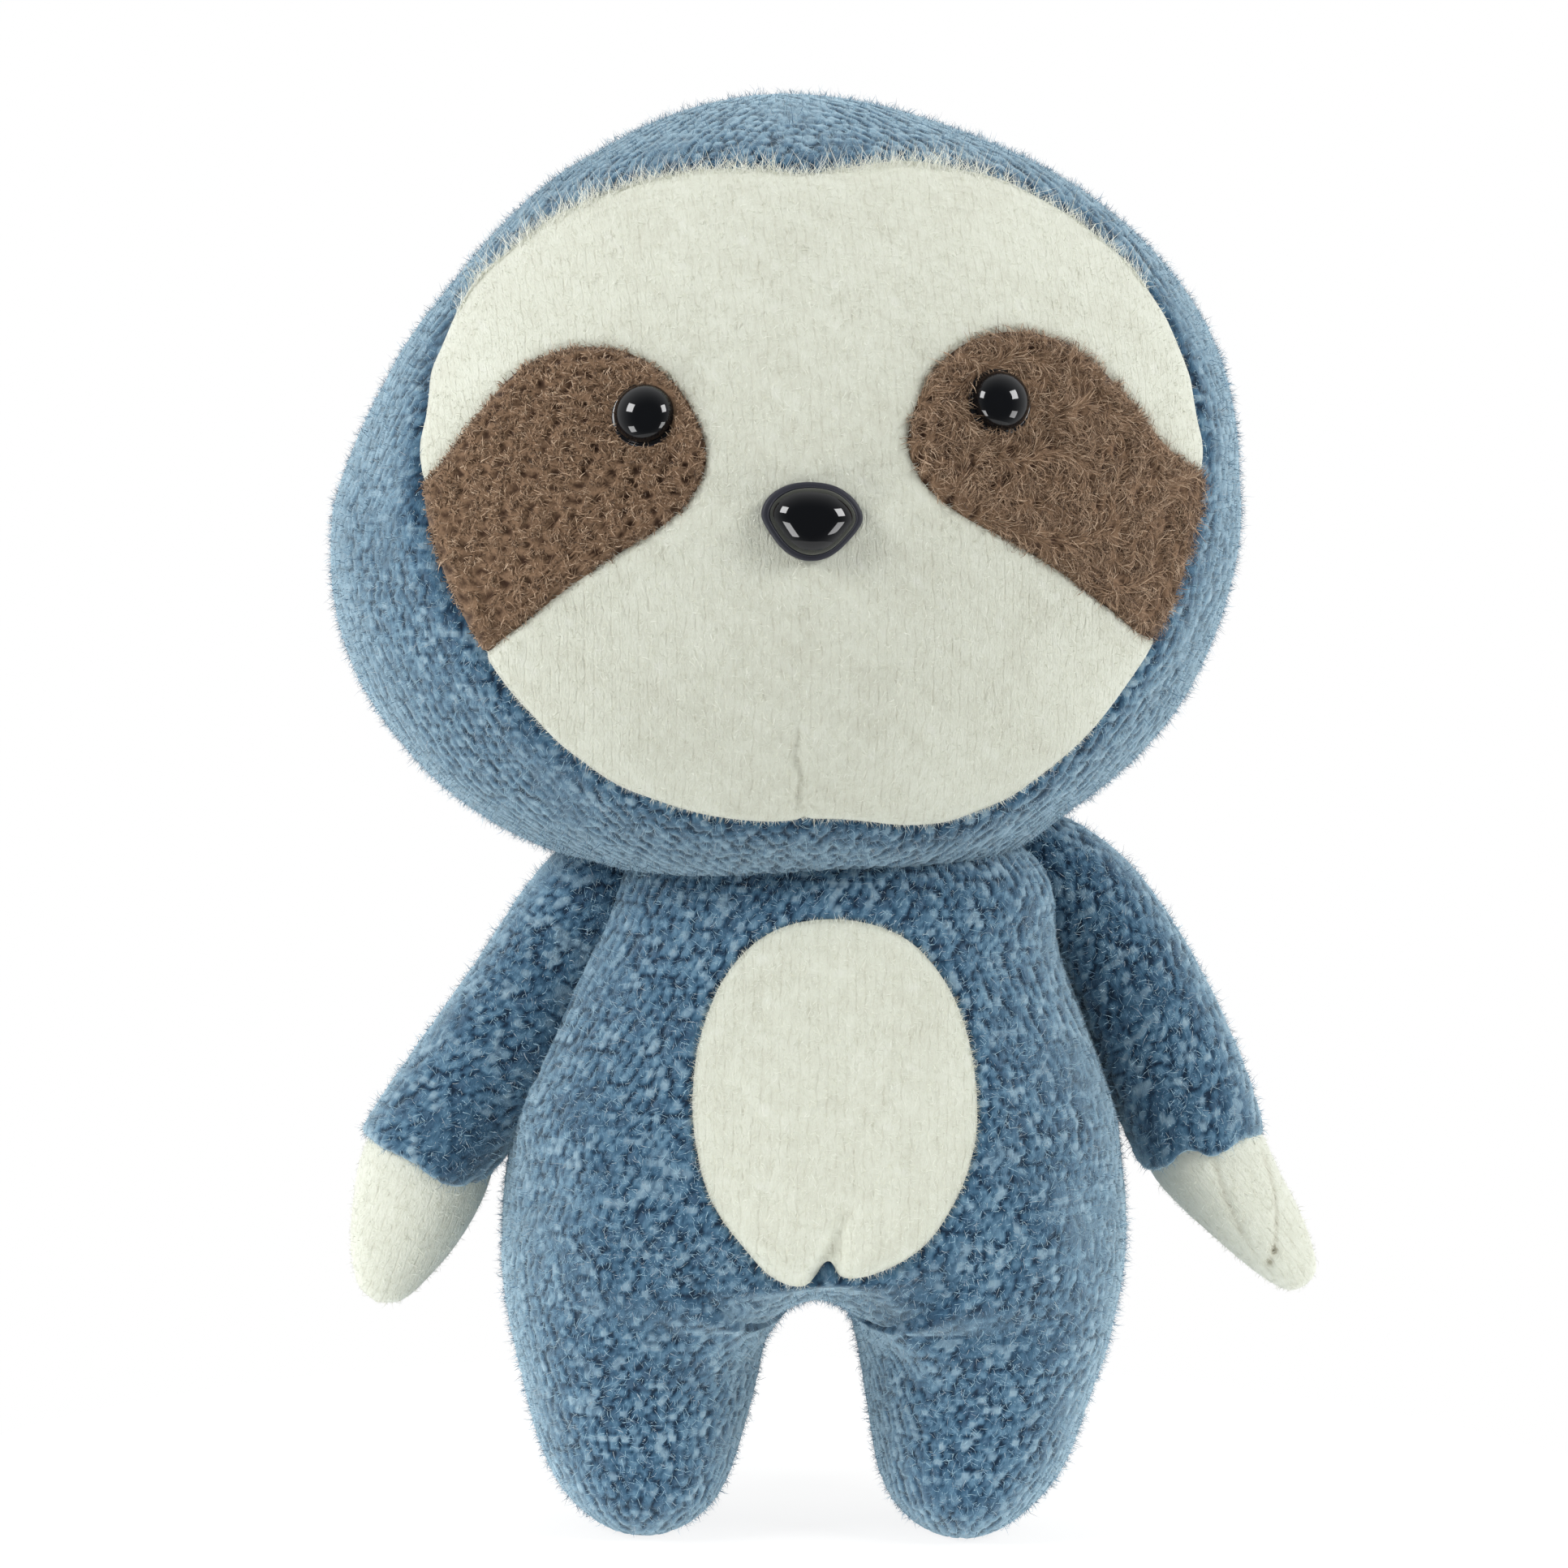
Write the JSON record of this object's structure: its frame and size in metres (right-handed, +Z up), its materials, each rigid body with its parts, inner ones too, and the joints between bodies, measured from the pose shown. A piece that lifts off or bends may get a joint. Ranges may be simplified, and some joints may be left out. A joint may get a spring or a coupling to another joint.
{
  "type": "plush sloth",
  "caption": "Knitted plush sloth with a hooded head, inset face with eye patches, plastic eyes and nose, belly panel, sewn arms with mitten hands and short legs that fold.",
  "frame": {"origin": "on the floor under the middle of the toy's width and depth, between the soles", "axes": "+Z up, the toy faces -Y, +X is the toy's left (the viewer's right)"},
  "size_m": [0.1588, 0.1176, 0.2288],
  "materials": {
    "blue_knit": "heathered blue knit, purl side out, brushed",
    "cream_knit": "cream fine knit, brushed",
    "brown_pile": "brown brushed pile",
    "black_plastic": "glossy moulded black",
    "white_plastic": "plain moulded",
    "fibre_stuffing": "polyester fibre fill"
  },
  "bodies": {
    "torso": {"body_cover": "blue_knit", "belly_panel": "cream_knit", "body_stuffing": "fibre_stuffing"},
    "neck": {"neck_stuffing": "fibre_stuffing"},
    "head": {"head_cover": "blue_knit", "face_panel": "cream_knit", "eye_patch_left": "brown_pile", "eye_patch_right": "brown_pile", "eye_left": "black_plastic", "eye_right": "black_plastic", "eye_washer_left": "white_plastic", "eye_washer_right": "white_plastic", "nose": "black_plastic", "nose_washer": "white_plastic", "head_stuffing": "fibre_stuffing"},
    "shoulder_left": {"shoulder_seam_left": "blue_knit"},
    "shoulder_right": {"shoulder_seam_right": "blue_knit"},
    "arm_left": {"arm_cover_left": "blue_knit", "hand_left": "cream_knit", "arm_stuffing_left": "fibre_stuffing"},
    "arm_right": {"arm_cover_right": "blue_knit", "hand_right": "cream_knit", "arm_stuffing_right": "fibre_stuffing"},
    "leg_left": {"leg_cover_left": "blue_knit", "leg_stuffing_left": "fibre_stuffing"},
    "leg_right": {"leg_cover_right": "blue_knit", "leg_stuffing_right": "fibre_stuffing"}
  },
  "joints": [
    {"name": "neck_turn", "type": "hinge", "parent": "torso", "child": "neck", "pos_m": [0, 0, 0.105], "axis": [0, 0, 1], "range_deg": [-20, 20], "stiffness_Nm_per_rad": 0.06},
    {"name": "neck_nod", "type": "hinge", "parent": "neck", "child": "head", "pos_m": [0, 0, 0.105], "axis": [1, 0, 0], "range_deg": [-8, 10], "stiffness_Nm_per_rad": 0.15},
    {"name": "arm_swing_left", "type": "hinge", "parent": "torso", "child": "shoulder_left", "pos_m": [0.03732, 0, 0.09573], "axis": [-0.9368, 0, -0.3498], "range_deg": [-35, 100], "stiffness_Nm_per_rad": 0.004},
    {"name": "arm_swing_right", "type": "hinge", "parent": "torso", "child": "shoulder_right", "pos_m": [-0.03732, 0, 0.09573], "axis": [-0.9368, 0, 0.3498], "range_deg": [-35, 100], "stiffness_Nm_per_rad": 0.004},
    {"name": "arm_raise_left", "type": "hinge", "parent": "shoulder_left", "child": "arm_left", "pos_m": [0.03514, 0, 0.10558], "axis": [0, -1, 0], "range_deg": [0, 28], "stiffness_Nm_per_rad": 0.004},
    {"name": "arm_raise_right", "type": "hinge", "parent": "shoulder_right", "child": "arm_right", "pos_m": [-0.03514, 0, 0.10558], "axis": [0, 1, 0], "range_deg": [0, 28], "stiffness_Nm_per_rad": 0.004},
    {"name": "leg_fold_left", "type": "hinge", "parent": "torso", "child": "leg_left", "pos_m": [0.028, -0.009, 0.039], "axis": [-1, 0, 0], "range_deg": [0, 65], "stiffness_Nm_per_rad": 0.02},
    {"name": "leg_fold_right", "type": "hinge", "parent": "torso", "child": "leg_right", "pos_m": [-0.028, -0.009, 0.039], "axis": [-1, 0, 0], "range_deg": [0, 65], "stiffness_Nm_per_rad": 0.02}
  ]
}
